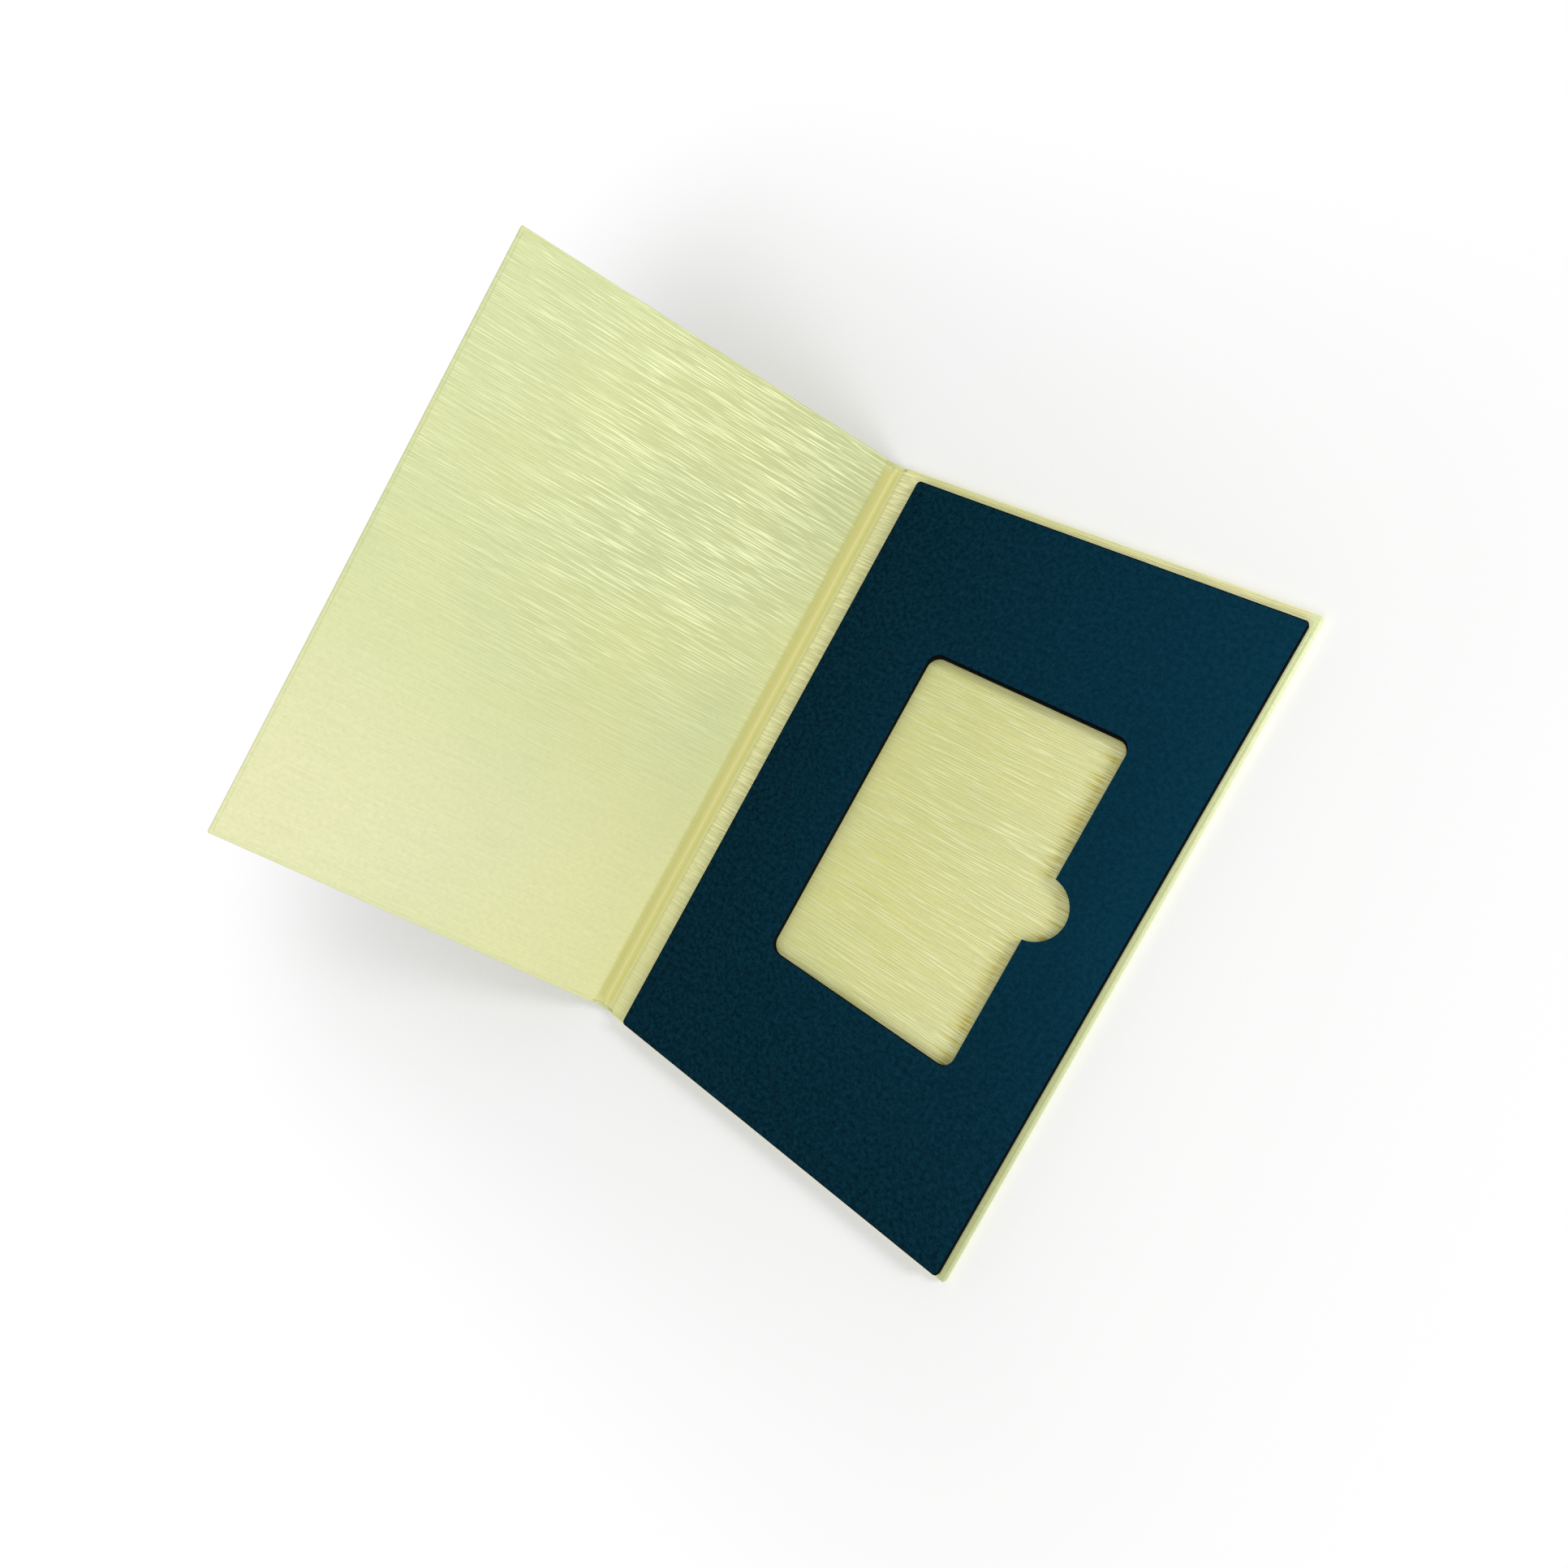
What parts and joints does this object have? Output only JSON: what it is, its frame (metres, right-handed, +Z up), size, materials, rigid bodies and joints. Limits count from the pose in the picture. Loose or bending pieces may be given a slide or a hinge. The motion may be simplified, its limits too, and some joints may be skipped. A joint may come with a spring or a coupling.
{
  "type": "card presentation case",
  "caption": "Book-style rigid card case: paper-wrapped board covers on a creased paper spine, with a die-cut insert that holds a card in a pocket with a thumb notch.",
  "frame": {"origin": "centre of the back cover's outer face, which lies on the table", "axes": "+X from the spine to the back cover's fore edge, +Y from tail to head, +Z up; the front cover stands open on the -X side"},
  "size_m": [0.1918, 0.17, 0.0848],
  "materials": {
    "gold_wrap": "pale gold paper with a fine brushed grain across the case",
    "gold_lining": "pale gold paper with a brushed satin sheen and bright streaks",
    "blue_paper": "matt dark teal blue uncoated paper with a fine mottle",
    "black_card": "dyed black card with cut edges",
    "grey_board": "grey recycled board",
    "clear_tape": "translucent double-sided tape"
  },
  "bodies": {
    "back_cover": {"back_board": "grey_board", "back_wrap": "gold_wrap", "back_lining": "gold_lining", "insert_tape_head": "clear_tape", "insert_tape_tail": "clear_tape", "insert_tape_spine": "clear_tape", "insert_tape_fore": "clear_tape", "insert_core": "black_card", "insert_face": "blue_paper"},
    "spine": {"spine_wrap": "gold_wrap", "spine_lining": "gold_lining"},
    "front_cover": {"front_board": "grey_board", "front_wrap": "gold_wrap", "front_lining": "gold_lining"}
  },
  "joints": [
    {"name": "spine_fold", "type": "hinge", "parent": "back_cover", "child": "spine", "pos_m": [-0.05615, 0, 0.00155], "axis": [0, 1, 0], "range_deg": [-23.5, 66.5]},
    {"name": "cover_fold", "type": "hinge", "parent": "spine", "child": "front_cover", "pos_m": [-0.06009, 0, 0.00326], "axis": [0, 1, 0], "range_deg": [-23.5, 66.5]}
  ]
}
